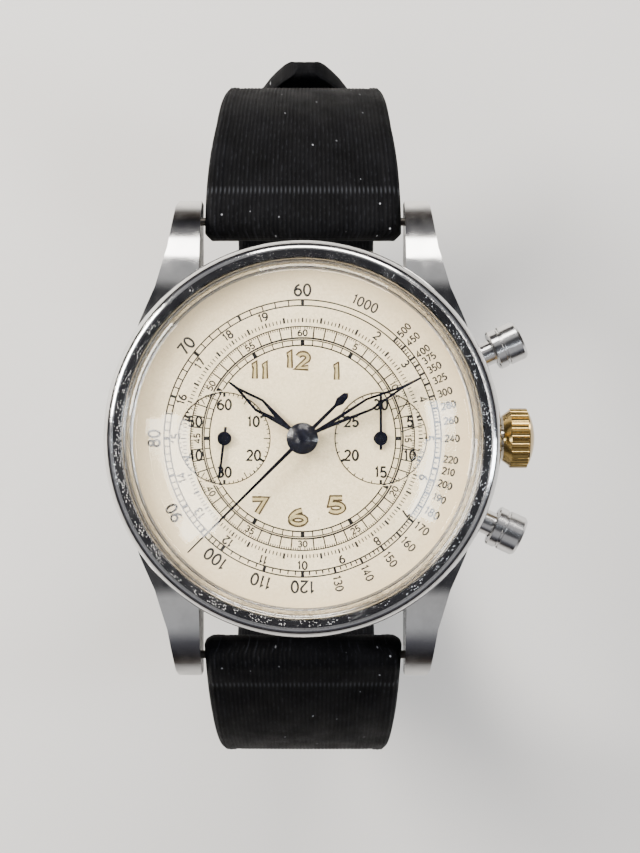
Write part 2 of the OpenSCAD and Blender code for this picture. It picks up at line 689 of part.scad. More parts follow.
module chronograph_runner() color("gold") {
    slab(chrono_wheel_z, chrono_wheel_z + 0.2) wheel2d(n_runner, m_chrono, 0, 0.7, 5);
    slab(lever_z, chrono_wheel_z) heart2d(0.4, 1.3, clock(chrono_angle));
    disc(runner_arbor_r, chrono_wheel_z, 10.5);
    disc(0.12, 1.35, lever_z);
}
module minute_recorder_wheel() color("gold") at(recorder) {
    slab(chrono_wheel_z, chrono_wheel_z + 0.2) wheel2d(30, 0.12, 0, 0.6, 4);
    slab(lever_z, chrono_wheel_z) heart2d(0.35, 1.0, 180);
    disc(recorder_arbor_r, 1.35, small_arbor_top);
}
chrono_feet = [[4.1, 0], [-2.6, 2.6]];
module chronograph_bridge() color("goldenrod") difference() {
    union() {
        slab(1.3, 1.7) {
            lever2d([chrono_feet[1], centre, recorder], 1.8);
        }
        for (p = chrono_feet) at(p) disc(0.45, 1.6, bridge_z0);
    }
    disc(0.12 + run, 0, 20);
    at(recorder) disc(recorder_arbor_r + run, 0, 20);
}

// Strap: each half leaves its bar on one arc and runs into an arc about loop_c
loop_c = [0, bar_z];
outer_loop_r = inner_loop_r + strap_t + 0.4;
buckle_a = -80;   // angle of the buckle's hinge bar about loop_c, in the (y, z) plane
tail_a = -24;     // angle of the tail's tip
fold_r = 1.95;
soft_gap = 0.3;
hinge_bar = loop_c + polar(inner_loop_r, buckle_a);
hinge_loop = loop_c + polar(inner_loop_r - 0.35, buckle_a);
function join_cos(r, reach) = let (s = r * r - bar_y * bar_y, q = 2 * (r - reach))
    (s - q * r) / (s - q * bar_y);
function join_d(r, reach) = (r * r - bar_y * bar_y) / (2 * (r - bar_y * join_cos(r, reach)));
function arc(c, r, a0, a1, n) = [for (i = [0 : n]) c + polar(r, a0 + (a1 - a0) * i / n)];
// Profile in (y, z) of a half: it leaves the bar at y = bar_y, and ends at angle end_a about loop_c
module half_profile(r, reach, end_a) {
    join_a = -acos(join_cos(r, reach));
    c = loop_c + polar(join_d(r, reach), join_a);
    rho = r - join_d(r, reach);
    bar_a = bearing(c, [bar_y, bar_z]);
    t = strap_t / 2;
    polygon(concat(arc(c, rho + t, bar_a, join_a, 12), arc(loop_c, r + t, join_a, end_a, 18),
        arc(loop_c, r - t, end_a, join_a, 18), arc(c, rho - t, join_a, bar_a, 12)));
}
// Plan taper along Z: half widths at a list of heights
module taper(rows) rotate([90, 0, 0]) translate([0, 0, -60]) linear_extrude(120)
    polygon(concat([for (p = rows) [p[1], p[0]]], [for (i = [len(rows) - 1 : -1 : 0]) [-rows[i][1], rows[i][0]]]));
module bar_hole(y) bar_x(y, bar_z, 0.84, 30);
module strap_buckle_half() color("black") difference() {
    intersection() {
        union() {
            across(12) half_profile(inner_loop_r, reach_12, buckle_a);
            bar_x(bar_y, bar_z, fold_r, 12);
            bar_x(hinge_loop.x, hinge_loop.y, 1.45, 12);
        }
        taper([[20, lug_gap / 2 - 0.2], [3.4, lug_gap / 2 - 0.3], [-1, 8.9], [-8, 8.3], [-32, strap_end_w / 2],
            [-60, strap_end_w / 2]]);
    }
    bar_hole(bar_y);
    bar_x(hinge_bar.x, hinge_bar.y, 0.5 + soft_gap, 30);
    on_loop(inner_loop_r, buckle_a) translate([-1.3, -1.5, -3]) cube([2.6, 5, 6]);
}
module strap_tail_half() color("black") difference() {
    intersection() {
        union() {
            intersection() {
                mirror([0, 1, 0]) {
                    across(12) half_profile(outer_loop_r, reach_6, -90);
                    bar_x(bar_y, bar_z, fold_r, 12);
                }
                taper([[20, lug_gap / 2 - 0.2], [3.4, lug_gap / 2 - 0.3], [-6, 9.1], [-14, 8.7],
                    [-40, strap_end_w / 2], [-60, strap_end_w / 2]]);
            }
            intersection() {
                across(strap_end_w / 2) polygon(concat(arc(loop_c, outer_loop_r + strap_t / 2, -90, tail_a, 24),
                    arc(loop_c, outer_loop_r - strap_t / 2, tail_a, -90, 24)));
                tail_plan();
            }
        }
    }
    bar_hole(-bar_y);
    on_loop(outer_loop_r, buckle_a) translate([-1.25, 0.2, -3]) cube([2.5, 7.2, 6]);
    for (a = [-65 : 7 : -37]) translate([0, loop_c.x, bar_z]) rotate([a, 0, 0]) rotate([-90, 0, 0])
        translate([0, 0, outer_loop_r - 3]) cylinder(r = 0.8, h = 6);
}
// Half widths of the tail's rounded point at distances below its tip, seen along Y
tail_tip = [[0.7, 0], [1.5, 0.3], [2.4, 1], [3.3, 2], [4.1, 3], [5.4, 5], [7.1, 8], [strap_end_w / 2, 10.5]];
module tail_plan() rotate([90, 0, 0]) translate([0, 0, -60]) linear_extrude(120) {
    tip_z = bar_z + outer_loop_r * sin(tail_a);
    polygon(concat([[-strap_end_w / 2, -60], [strap_end_w / 2, -60]],
        [for (i = [len(tail_tip) - 1 : -1 : 0]) [tail_tip[i][0], tip_z - tail_tip[i][1]]],
        [for (p = tail_tip) [-p[0], tip_z - p[1]]]));
}
// Places children at radius r and angle a about loop_c, with +Z pointing away from it
module on_loop(r, a) translate([0, 0, bar_z]) rotate([a + 90, 0, 0]) rotate([180, 0, 0]) translate([0, 0, r])
    children();
buckle_l = 10.6;
buckle_tilt = 20.5;
module buckle_frame() color("silver") {
    on_loop(inner_loop_r, buckle_a) rotate([0, 90, 0]) translate([0, 0, -9.9]) cylinder(r = 0.5, h = 19.8);
    for (s = [-1, 1]) on_loop(inner_loop_r, buckle_a) translate([s * 9.3 - 0.6, 0, 0]) rotate([buckle_tilt, 0, 0])
        translate([0, -0.9, -0.8]) cube([1.2, buckle_l + 0.9, 1.6]);
    on_loop(inner_loop_r, buckle_a) rotate([buckle_tilt, 0, 0]) translate([-9.9, buckle_l, 0]) rotate([0, 90, 0])
        cylinder(r = 0.8, h = 19.8);
}
module buckle_tongue() color("silver") on_loop(inner_loop_r, buckle_a) {
    difference() {
        union() {
            rotate([0, 90, 0]) translate([0, 0, -1.0]) cylinder(r = 1.1, h = 2.0);
            across(0.65) lever2d([[0, 0.2], [2.2, 0.6], [6.2, 4.4], [9.6, 5.2], [11.2, 5.2]], 0.8);
        }
        rotate([0, 90, 0]) translate([0, 0, -5]) cylinder(r = 0.5 + run, h = 10);
    }
}
// A loop round both layers: width along the strap, clearance inside, wall thickness
module keeper(a, width, inner_clear, outer_clear, wall) on_loop(0, a) {
    r0 = inner_loop_r - strap_t / 2 - inner_clear;
    r1 = outer_loop_r + strap_t / 2 + outer_clear;
    half = strap_end_w / 2 + soft_gap;
    translate([-half - wall, -width / 2, r0 - wall]) difference() {
        cube([2 * (half + wall), width, r1 - r0 + 2 * wall]);
        translate([wall, -1, wall]) cube([2 * half, width + 2, r1 - r0]);
    }
}
module fixed_keeper() color("black") keeper(-68, 5, 0.15, 0.45, 0.9);
module free_keeper() color("black") keeper(-48, 5, 0.45, 0.45, 0.9);

case_middle();
bezel();
crystal();
case_back();
case_tubes();
movement_ring();
spring_bars();
crown();
winding_stem();
start_pusher();
reset_pusher();
start_pusher_spring();
reset_pusher_spring();
dial();
hour_hand();
minute_hand();
chronograph_hand();
running_seconds_hand();
minute_recorder_hand();
main_plate();
barrel_bridge();
train_bridge();
balance_cock();
pallet_bridge();
bridge_screws();
jewels();
barrel_drum();
mainspring();
barrel_arbor();
ratchet_wheel();
winding_wheel();
crown_wheel();
click();
winding_pinion();
sliding_pinion();
setting_lever();
centre_wheel();
cannon_pinion();
minute_wheel();
hour_wheel();
third_wheel();
fourth_wheel();
escape_wheel();
pallet_fork();
balance_wheel();
hairspring();
column_wheel();
operating_lever();
clutch_lever();
clutch_wheel();
chronograph_runner();
minute_recorder_wheel();
hammer();
chronograph_bridge();
strap_buckle_half();
strap_tail_half();
buckle_frame();
buckle_tongue();
fixed_keeper();
free_keeper();
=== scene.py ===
import bmesh
import bpy
import json
import math
import numpy as np
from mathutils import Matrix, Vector


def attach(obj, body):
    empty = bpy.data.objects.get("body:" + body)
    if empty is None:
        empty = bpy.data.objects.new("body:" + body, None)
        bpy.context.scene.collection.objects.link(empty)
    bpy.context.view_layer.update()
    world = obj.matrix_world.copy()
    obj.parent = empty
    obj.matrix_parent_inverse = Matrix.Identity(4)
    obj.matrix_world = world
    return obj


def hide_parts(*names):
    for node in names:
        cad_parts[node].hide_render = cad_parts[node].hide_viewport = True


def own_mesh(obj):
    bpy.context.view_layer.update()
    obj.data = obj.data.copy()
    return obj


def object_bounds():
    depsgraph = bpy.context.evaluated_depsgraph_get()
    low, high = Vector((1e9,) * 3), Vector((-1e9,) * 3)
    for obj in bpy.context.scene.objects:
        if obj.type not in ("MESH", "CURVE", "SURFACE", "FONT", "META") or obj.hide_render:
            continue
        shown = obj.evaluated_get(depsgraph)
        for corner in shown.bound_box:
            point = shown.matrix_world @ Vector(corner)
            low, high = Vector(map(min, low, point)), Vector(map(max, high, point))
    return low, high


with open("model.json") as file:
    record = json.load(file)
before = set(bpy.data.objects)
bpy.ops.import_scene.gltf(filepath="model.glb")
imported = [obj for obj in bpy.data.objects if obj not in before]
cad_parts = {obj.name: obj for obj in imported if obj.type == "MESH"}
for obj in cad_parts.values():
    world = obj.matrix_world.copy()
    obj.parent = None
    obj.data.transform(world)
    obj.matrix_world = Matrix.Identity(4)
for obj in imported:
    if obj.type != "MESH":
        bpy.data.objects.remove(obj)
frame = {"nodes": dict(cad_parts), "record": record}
CAD_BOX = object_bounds()
MM = 0.001

# Sizes in millimetres and angles in degrees, the same as in the part's source
DIAL_Z = 8.9                            # the dial's face
SUBDIALS = [(-7.45, 0.0), (7.45, 0.0)]
SUB_R = 4.47
SUB_DEPTH = 0.07                        # how far a subdial lies below the dial
BAR_Y, BAR_Z = 21.4, 3.4                # a spring bar's axis
LOOP_IN, LOOP_OUT = 41.8, 44.2          # middle radii of the strap loop's two layers
REACH_12, REACH_6 = 36.3, 32.9          # how far each half stands out from the middle
BUCKLE_A, TAIL_A = -80, -24             # angles at which the two halves end
STRAP_W, STRAP_END_W = 19.6, 16.0       # the strap's width at the watch and at the buckle
KEEPER_W = 5.0                          # a keeper's width, along the strap
SOFT_GAP = 0.3                          # room between a keeper and the strap's edge

# Sizes that only the scene has
RIBS = 45                               # ribs across the strap
ROW_GAP = 0.7                           # distance between the mesh's rows on the strap's arcs
EYE_R = 1.93                            # the strap's fold round its spring bar, 1.95 in the source
KEEPER_WALL = 0.85                      # a keeper's thickness, 0.9 in the source
PITCH = STRAP_W / RIBS                  # width of one rib
FLAP = 2.8                              # where the fold-over ends, along the strap from the bar
HALF_T = 0.97                           # half the cloth's thickness


# ---------------------------------------------------------------- mesh helpers
class Build:
    """Collects closed prisms in millimetres and turns them into one mesh piece in metres."""

    def __init__(self):
        self.v, self.f = [], []

    def prism(self, pts, z0, z1):
        n, b = len(pts), len(self.v)
        self.v += [(x, y, z0) for x, y in pts] + [(x, y, z1) for x, y in pts]
        self.f.append(tuple(b + i for i in reversed(range(n))))
        self.f.append(tuple(b + n + i for i in range(n)))
        self.f += [(b + i, b + (i + 1) % n, b + n + (i + 1) % n, b + n + i) for i in range(n)]

    def stroke(self, pts, w, z0, z1, closed):
        """A line of width w along pts, as a closed solid with mitred corners."""
        p = np.array(pts, float)
        n = len(p)
        if closed:
            before, after = np.roll(p, 1, 0), np.roll(p, -1, 0)
        else:
            before = np.vstack([2 * p[0] - p[1], p[:-1]])
            after = np.vstack([p[1:], 2 * p[-1] - p[-2]])
        d0, d1 = p - before, after - p
        d0 /= np.linalg.norm(d0, axis=1)[:, None]
        d1 /= np.linalg.norm(d1, axis=1)[:, None]
        t = d0 + d1
        t /= np.maximum(np.linalg.norm(t, axis=1), 1e-9)[:, None]
        nrm = np.stack([-t[:, 1], t[:, 0]], 1)
        cosine = np.maximum(np.abs((nrm * np.stack([-d1[:, 1], d1[:, 0]], 1)).sum(1)), 0.55)
        off = nrm * (w / 2 / cosine)[:, None]
        left, right = p + off, p - off
        b = len(self.v)
        for side, z in ((left, z0), (right, z0), (right, z1), (left, z1)):
            self.v += [(x, y, z) for x, y in side]
        for i in range(n if closed else n - 1):
            j = (i + 1) % n
            for a, c in ((0, 1), (1, 2), (2, 3), (3, 0)):
                self.f.append((b + a * n + i, b + c * n + i, b + c * n + j, b + a * n + j))
        if not closed:
            for i, turn in ((0, 1), (n - 1, -1)):
                self.f.append(tuple(b + k * n + i for k in (3, 2, 1, 0)[::turn]))

    def circle(self, c, r, w, z0, z1, n):
        self.stroke([(c[0] + r * math.cos(a), c[1] + r * math.sin(a))
                     for a in np.arange(n) * 2 * math.pi / n], w, z0, z1, True)

    def tick(self, c, r0, r1, clock, w, z0, z1):
        a = math.radians(90 - clock)
        u, v = (math.cos(a), math.sin(a)), (-math.sin(a), math.cos(a))
        self.prism([(c[0] + u[0] * r + v[0] * s, c[1] + u[1] * r + v[1] * s)
                    for r, s in ((r0, -w / 2), (r1, -w / 2), (r1, w / 2), (r0, w / 2))], z0, z1)

    def piece(self, name, mat, body):
        mesh = bpy.data.meshes.new(name)
        mesh.from_pydata([(x * MM, y * MM, z * MM) for x, y, z in self.v], [], self.f)
        mesh.materials.append(mat)
        place(name, mesh, body)


def place(name, mesh, body, smooth=False):
    mesh.validate()
    mesh.polygons.foreach_set("use_smooth", [smooth] * len(mesh.polygons))
    obj = bpy.data.objects.new(name, mesh)
    bpy.context.scene.collection.objects.link(obj)
    if body:
        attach(obj, body)
    return obj


def grid_mesh(name, rows, mat, uv, close_cols=False):
    """A grid of faces through rows of points in millimetres, whose last row joins the first."""
    r, c = rows.shape[:2]
    v = (rows.reshape(-1, 3) * MM).tolist()
    f, corner_uv = [], []
    for i in range(r):
        for j in range(c if close_cols else c - 1):
            i2, j2 = (i + 1) % r, (j + 1) % c
            f.append((i * c + j, i * c + j2, i2 * c + j2, i2 * c + j))
            for a, b in ((i, j), (i, j + 1), (i + 1, j + 1), (i + 1, j)):
                corner_uv += uv(a, b)
    mesh = bpy.data.meshes.new(name)
    mesh.from_pydata(v, [], f)
    layer = mesh.uv_layers.new(name="cloth")
    layer.data.foreach_set("uv", corner_uv)
    mesh.materials.append(mat)
    return mesh


# ---------------------------------------------------------------- materials
class Mat:
    """A Principled material with short helpers for its nodes."""

    def __init__(self, name, color, **sockets):
        self.m = bpy.data.materials.new(name)
        self.m.use_nodes = True
        self.t = self.m.node_tree
        self.p = self.t.nodes["Principled BSDF"]
        self.out = self.t.nodes["Material Output"]
        self.p.inputs["Base Color"].default_value = (*color, 1)
        for k, v in sockets.items():
            self.p.inputs[k.replace("_", " ")].default_value = v

    def node(self, kind, **kw):
        n = self.t.nodes.new("ShaderNode" + kind)
        for k, v in kw.items():
            if k.startswith("i_"):
                key = k[2:]
                n.inputs[int(key) if key.isdigit() else key].default_value = v
            else:
                setattr(n, k, v)
        return n

    def link(self, a, b):
        self.t.links.new(a, b)

    def coord(self, scale, kind="Object", stretch=(1, 1, 1)):
        """Texture coordinates times scale: in metres for Object, in millimetres for the strap's UV."""
        tc = self.node("TexCoord")
        mp = self.node("Mapping")
        mp.inputs["Scale"].default_value = tuple(scale * s for s in stretch)
        self.link(tc.outputs[kind], mp.inputs["Vector"])
        return mp.outputs["Vector"]

    def noise(self, size_mm, detail=3, rough=0.5, stretch=(1, 1, 1), kind="Object"):
        n = self.node("TexNoise", i_Scale=1.0, i_Detail=detail, i_Roughness=rough)
        self.link(self.coord(1000 / size_mm, kind, stretch), n.inputs["Vector"])
        return n.outputs["Fac"]

    def ramp(self, fac, stops):
        n = self.node("ValToRGB")
        e = n.color_ramp.elements
        while len(e) < len(stops):
            e.new(0.5)
        for s, (pos, col) in zip(e, stops):
            s.position = pos
            s.color = (*col, 1)
        self.link(fac, n.inputs["Fac"])
        return n.outputs["Color"]

    def grey(self, fac, a, b, lo=0.0, hi=1.0):
        """Maps fac from the range a to b onto lo to hi."""
        n = self.node("MapRange", i_1=a, i_2=b, i_3=lo, i_4=hi)
        self.link(fac, n.inputs["Value"])
        return n.outputs["Result"]

    def mix(self, fac, a, b):
        n = self.node("Mix", data_type="RGBA")
        for key, val in (("Factor", fac), (6, a), (7, b)):
            s = n.inputs[key]
            if hasattr(val, "is_linked"):
                self.link(val, s)
            else:
                s.default_value = val if key == "Factor" else (*val, 1)
        return n.outputs[2]

    def math(self, op, a, b=0.0):
        n = self.node("Math", operation=op)
        for i, val in enumerate((a, b)):
            if hasattr(val, "is_linked"):
                self.link(val, n.inputs[i])
            else:
                n.inputs[i].default_value = val
        return n.outputs[0]

    def bump(self, height, distance_mm, strength, after=None):
        n = self.node("Bump", i_Strength=strength, i_Distance=distance_mm * MM)
        self.link(height, n.inputs["Height"])
        if after is not None:
            self.link(after, n.inputs["Normal"])
        self.link(n.outputs["Normal"], self.p.inputs["Normal"])
        return n.outputs["Normal"]

    def to(self, value, socket):
        self.link(value, self.p.inputs[socket])


def radius(m):
    """Distance from the watch's axis, in metres."""
    tc = m.node("TexCoord")
    flat = m.node("VectorMath", operation="MULTIPLY")
    flat.inputs[1].default_value = (1, 1, 0)
    length = m.node("VectorMath", operation="LENGTH")
    m.link(tc.outputs["Object"], flat.inputs[0])
    m.link(flat.outputs[0], length.inputs[0])
    return length.outputs["Value"]


def steel(name, color, rough, pits=0.0, grain=None):
    """Metal with smudges. pits, from 0 to 1, adds corrosion marks, mostly on the bezel's flat ring.
    grain, a stretch along each axis, brushes it."""
    m = Mat(name, color, Metallic=1.0)
    smudge = m.noise(2.2, 4, 0.6)
    m.to(m.grey(smudge, 0.35, 0.7, rough, rough + 0.1), "Roughness")
    stain = m.ramp(m.noise(5.0, 5, 0.65), [(0.35, tuple(c * 0.86 for c in color)), (0.6, color)])
    if pits:
        spots = m.node("TexVoronoi", i_Scale=1.0, i_Randomness=1.0)
        m.link(m.coord(1000 / 0.2), spots.inputs["Vector"])
        patch = m.grey(m.noise(1.6, 3, 0.6), 0.34, 0.52)
        hole = m.math("MULTIPLY", m.grey(spots.outputs["Distance"], 0.42, 0.16), patch)
        # The flat ring ends at 17.86 mm. Outside the groove round it a quarter of the marks stay
        hole = m.math("MULTIPLY", hole, m.grey(radius(m), 17.98 * MM, 17.86 * MM, 0.25, 1.0))
        stain = m.mix(m.math("MULTIPLY", hole, pits), stain, (0.07, 0.062, 0.055))
        normal = m.bump(m.math("MULTIPLY", hole, -1.0), 0.02, 0.5)
        m.bump(m.noise(0.5, 4, 0.6), 0.006, 0.2, normal)
    elif grain:
        m.bump(m.noise(0.08, 3, 0.6, grain), 0.012, 0.5)
    else:
        m.bump(m.noise(0.9, 5, 0.6), 0.006, 0.35)
    m.to(stain, "Base Color")
    return m.m


def cream_dial():
    """Cream paint, cloudy, grainy and foxed with age. Its colour is also darker towards the rim."""
    m = Mat("cream_dial", (0.86, 0.73, 0.48), Roughness=0.55, Specular_IOR_Level=0.35)
    cloudy = m.ramp(m.noise(6.0, 5, 0.6), [(0.3, (0.74, 0.61, 0.38)), (0.72, (0.87, 0.75, 0.51))])
    grainy = m.mix(m.grey(m.noise(0.22, 4, 0.7), 0.35, 0.68, 0.0, 0.6), cloudy, (0.52, 0.41, 0.25))
    specks = m.node("TexVoronoi", i_Scale=1.0)
    m.link(m.coord(1000 / 1.1), specks.inputs["Vector"])
    near = m.grey(specks.outputs["Distance"], 0.10, 0.03)
    dots = m.math("MULTIPLY", near, m.grey(m.noise(2.5), 0.5, 0.6))
    foxed = m.mix(m.math("MULTIPLY", dots, 0.7), grainy, (0.36, 0.24, 0.12))
    # Darker towards the rim, from 12.6 mm out to 16.8 mm
    edge = m.grey(radius(m), 12.6 * MM, 16.8 * MM, 0.0, 0.8)
    m.to(m.mix(edge, foxed, (0.56, 0.43, 0.25)), "Base Color")
    m.bump(m.noise(0.15, 4, 0.7), 0.01, 0.5)
    return m.m


UV_MM = 1000            # the strap's UV map is in millimetres, where noise() expects metres


def ribbed_fabric():
    """Black ribbed cloth. The ribs are in the mesh, and this adds threads, lint, and painted highlights on
    the rib tops and where the fold-over ends.
    """
    m = Mat("strap_fabric", (0.002, 0.002, 0.0025), Roughness=0.75, Specular_IOR_Level=0.06)
    tc = m.node("TexCoord")
    axes = m.node("SeparateXYZ")
    m.link(tc.outputs["UV"], axes.inputs[0])
    thread = m.node("TexWave", wave_type="BANDS", bands_direction="Y", i_Scale=1.0, i_Distortion=1.2)
    m.link(m.coord(2.6, "UV"), thread.inputs["Vector"])
    worn = m.ramp(m.noise(4.0 * UV_MM, 4, 0.6, kind="UV"),
                  [(0.35, (0.0012, 0.0012, 0.0015)), (0.75, (0.005, 0.005, 0.006))])
    # Painted highlight: lighter dashes along the rib crests, where the ribs would catch the light
    phase = m.math("MULTIPLY", axes.outputs["X"], math.pi / PITCH)
    crest = m.math("POWER", m.math("ABSOLUTE", m.math("COSINE", phase)), 5.0)
    dash = m.grey(m.noise(0.8 * UV_MM, 3, 0.7, (1.6, 1.3, 1), kind="UV"), 0.50, 0.66)
    shine = m.mix(m.math("MULTIPLY", crest, dash), worn, (0.012, 0.0125, 0.015))
    # Painted highlight: a lighter band on the rib crests where the fold-over ends, for the light that the
    # step there catches
    fold = m.grey(m.math("ABSOLUTE", m.math("SUBTRACT", axes.outputs["Y"], FLAP)), 0.50, 0.10)
    shine = m.mix(m.math("MULTIPLY", m.math("MULTIPLY", crest, fold), 0.8), shine, (0.040, 0.042, 0.048))
    lint = m.node("TexVoronoi", i_Scale=1.0)
    m.link(m.coord(0.75, "UV"), lint.inputs["Vector"])
    near = m.grey(lint.outputs["Distance"], 0.09, 0.05)
    dots = m.math("MULTIPLY", near, m.grey(m.noise(6.0 * UV_MM, kind="UV"), 0.46, 0.54))
    m.to(m.mix(dots, shine, (0.42, 0.43, 0.46)), "Base Color")
    m.to(m.grey(m.noise(3.0 * UV_MM, 3, kind="UV"), 0.3, 0.7, 0.55, 0.75), "Roughness")
    m.bump(thread.outputs["Fac"], 0.02, 0.6)
    return m.m


def crystal_material():
    """Acrylic that lets light through to the dial without a caustic."""
    m = Mat("crystal_acrylic", (0.985, 0.985, 0.98), Roughness=0.015, IOR=1.49, Transmission_Weight=1.0)
    fine = m.noise(3.0, 4, 0.6)
    m.to(m.grey(fine, 0.4, 0.8, 0.012, 0.05), "Roughness")
    path = m.node("LightPath")
    clear = m.node("BsdfTransparent")
    clear.inputs["Color"].default_value = (0.96, 0.96, 0.95, 1)
    both = m.node("MixShader")
    m.link(path.outputs["Is Shadow Ray"], both.inputs["Fac"])
    m.link(m.p.outputs["BSDF"], both.inputs[1])
    m.link(clear.outputs["BSDF"], both.inputs[2])
    m.link(both.outputs["Shader"], m.out.inputs["Surface"])
    return m.m


def paint(name, color, rough, size, spread, **kw):
    """A paint with darker clouds of about size millimetres."""
    m = Mat(name, color, Roughness=rough, **kw)
    dark = tuple(c * (1 - spread) for c in color)
    m.to(m.ramp(m.noise(size, 4, 0.6), [(0.35, dark), (0.65, color)]), "Base Color")
    m.bump(m.noise(size / 2, 3, 0.6), 0.006, 0.4)
    return m.m


MATS = {
    "case_steel": steel("case_steel", (0.78, 0.77, 0.75), 0.09),
    "crystal": crystal_material(),
    "steel": steel("steel", (0.70, 0.69, 0.68), 0.16),
    "gold_plate": steel("gold_plate", (0.52, 0.36, 0.13), 0.18),
    "cream_dial": cream_dial(),
    "blued_steel": paint("blued_steel", (0.0025, 0.003, 0.007), 0.2, 0.4, 0.3,
                         Specular_IOR_Level=0.45),
    "gilt_brass": steel("gilt_brass", (0.80, 0.62, 0.33), 0.28, grain=(1, 12, 1)),
    "ruby": paint("ruby", (0.55, 0.02, 0.08), 0.08, 0.5, 0.3, Coat_Weight=1.0),
    "strap_fabric": ribbed_fabric(),
}
BEZEL = steel("bezel_steel", (0.74, 0.73, 0.72), 0.07, 0.9)
BLACKENED = steel("blackened_steel", (0.06, 0.055, 0.05), 0.35)
INK = paint("dial_ink", (0.003, 0.003, 0.003), 0.6, 0.15, 0.4, Specular_IOR_Level=0.2)
GOLD = paint("numeral_gold", (0.060, 0.036, 0.007), 0.45, 0.2, 0.35, Metallic=0.1)
LUME = paint("numeral_lume", (0.47, 0.37, 0.17), 0.7, 0.2, 0.25)

SLOT = {s["node"]: s["material_slot"] for s in frame["record"]["subparts"]}
for node, obj in frame["nodes"].items():
    mat = {"bezel": BEZEL, "spring_bars": BLACKENED}.get(node, MATS[SLOT[node]])
    if not obj.data.materials:
        obj.data.materials.append(mat)
    for i in range(len(obj.data.materials)):
        obj.data.materials[i] = mat


# ---------------------------------------------------------------- dial printing
def arc(cx, cy, rx, ry, a0, a1, n):
    return [(cx + rx * math.cos(math.radians(a0 + (a1 - a0) * i / n)),
             cy + ry * math.sin(math.radians(a0 + (a1 - a0) * i / n))) for i in range(n + 1)]


def ring_pts(cx, cy, rx, ry):
    return arc(cx, cy, rx, ry, 0, 340, 17)


# Each digit is (width, [(points, closed)]) in a box one unit high. "I" is the gold numerals' nearly plain 1
DIGITS = {
    "0": (0.60, [(ring_pts(0.30, 0.5, 0.26, 0.47), True)]),
    "1": (0.34, [([(0.04, 0.76), (0.20, 0.97), (0.20, 0.03)], False)]),
    "2": (0.58, [(arc(0.29, 0.70, 0.25, 0.27, 165, -35, 10) + [(0.04, 0.03), (0.56, 0.03)], False)]),
    "3": (0.56, [(arc(0.26, 0.74, 0.23, 0.23, 150, -80, 9)
                  + arc(0.27, 0.28, 0.26, 0.25, 75, -150, 9), False)]),
    "4": (0.60, [([(0.42, 0.03), (0.42, 0.97), (0.03, 0.28), (0.57, 0.28)], False)]),
    "5": (0.56, [([(0.50, 0.97), (0.13, 0.97), (0.08, 0.54)]
                  + arc(0.27, 0.31, 0.26, 0.28, 120, -150, 11), False)]),
    "6": (0.58, [(arc(0.62, 0.36, 0.58, 0.62, 108, 172, 6)
                  + arc(0.30, 0.30, 0.26, 0.27, 172, -188, 14), False)]),
    "7": (0.54, [([(0.03, 0.97), (0.51, 0.97), (0.20, 0.03)], False)]),
    "8": (0.58, [(ring_pts(0.29, 0.75, 0.20, 0.22), True), (ring_pts(0.29, 0.28, 0.25, 0.26), True)]),
    "9": (0.58, [(arc(-0.04, 0.64, 0.58, 0.62, -72, -8, 6)
                  + arc(0.28, 0.70, 0.26, 0.27, -8, 352, 14), False)]),
    "I": (0.30, [([(0.06, 0.88), (0.15, 0.97), (0.15, 0.03)], False)]),
}


def number(b, text, at, height, turn, w, z0, z1, squeeze=1.0, gap=0.16):
    """Writes a number centred on at, with its top towards turn degrees clockwise from 12."""
    wide = sum(DIGITS[c][0] * squeeze for c in text) + gap * (len(text) - 1)
    a = -math.radians(turn)
    ca, sa = math.cos(a), math.sin(a)
    x = -wide / 2
    for c in text:
        for pts, closed in DIGITS[c][1]:
            p = [((x + px * squeeze) * height, (py - 0.5) * height) for px, py in pts]
            b.stroke([(at[0] + ca * u - sa * v, at[1] + sa * u + ca * v) for u, v in p], w, z0, z1, closed)
        x += DIGITS[c][0] * squeeze + gap


def polar(r, clock):
    a = math.radians(90 - clock)
    return (r * math.cos(a), r * math.sin(a))


INK0, INK1 = DIAL_Z - 0.005, DIAL_Z + 0.012      # bottom and top of the printing
CENTRE = (0, 0)
LINE = 0.13             # width of a printed ring
TACHY_IN, TACHY_OUT = 12.65, 13.2
TELE_IN, TELE_OUT = 11.05, 11.6
SECONDS_IN, SECONDS_OUT = 9.58, 10.68
MINUTES_IN, MINUTES_OUT = 8.87, 9.40
SUB_RING = 4.36
ink = Build()


def ring(r, w=LINE, c=CENTRE, n=180):
    ink.circle(c, r, w, INK0, INK1, n)


def tick(r0, r1, a, w, c=CENTRE):
    ink.tick(c, r0, r1, a, w, INK0, INK1)


# Tachymeter: rings, divisions and numerals
ring(TACHY_OUT)
ring(TACHY_IN)
TACHY_TURN = 21600       # a speed k stands this over k degrees from 12
TACHY = [*range(60, 220, 10), *range(220, 300, 20), *range(300, 400, 25), 400, 450, 500]
for k in TACHY:
    tick(TACHY_IN, TACHY_OUT, TACHY_TURN / k, 0.30 if k <= 120 else 0.22)
steps = [(60, 100, 1), (100, 200, 2), (200, 300, 5), (300, 500, 12.5)]
for lo, hi, step in steps:
    n = int((hi - lo) / step)
    for i in range(1, n):
        k = lo + i * step
        whole = step == 1
        outer = TACHY_OUT if whole else 13.02
        tick(TACHY_IN, outer, TACHY_TURN / k, 0.24 if whole and k % 5 == 0 else 0.12)
for k in TACHY:
    a = TACHY_TURN / k
    if k <= 120:
        number(ink, str(k), polar(14.15, a), 1.14, a, 0.205, INK0, INK1, 1.05)
    else:
        small = 0.78 if k <= 180 else 0.66
        at = polar(14.25 if k < 400 else 14.15, a)
        number(ink, str(k), at, small, a - 90, 0.14, INK0, INK1)
number(ink, "1000", polar(14.15, 25), 0.95, 25, 0.17, INK0, INK1)

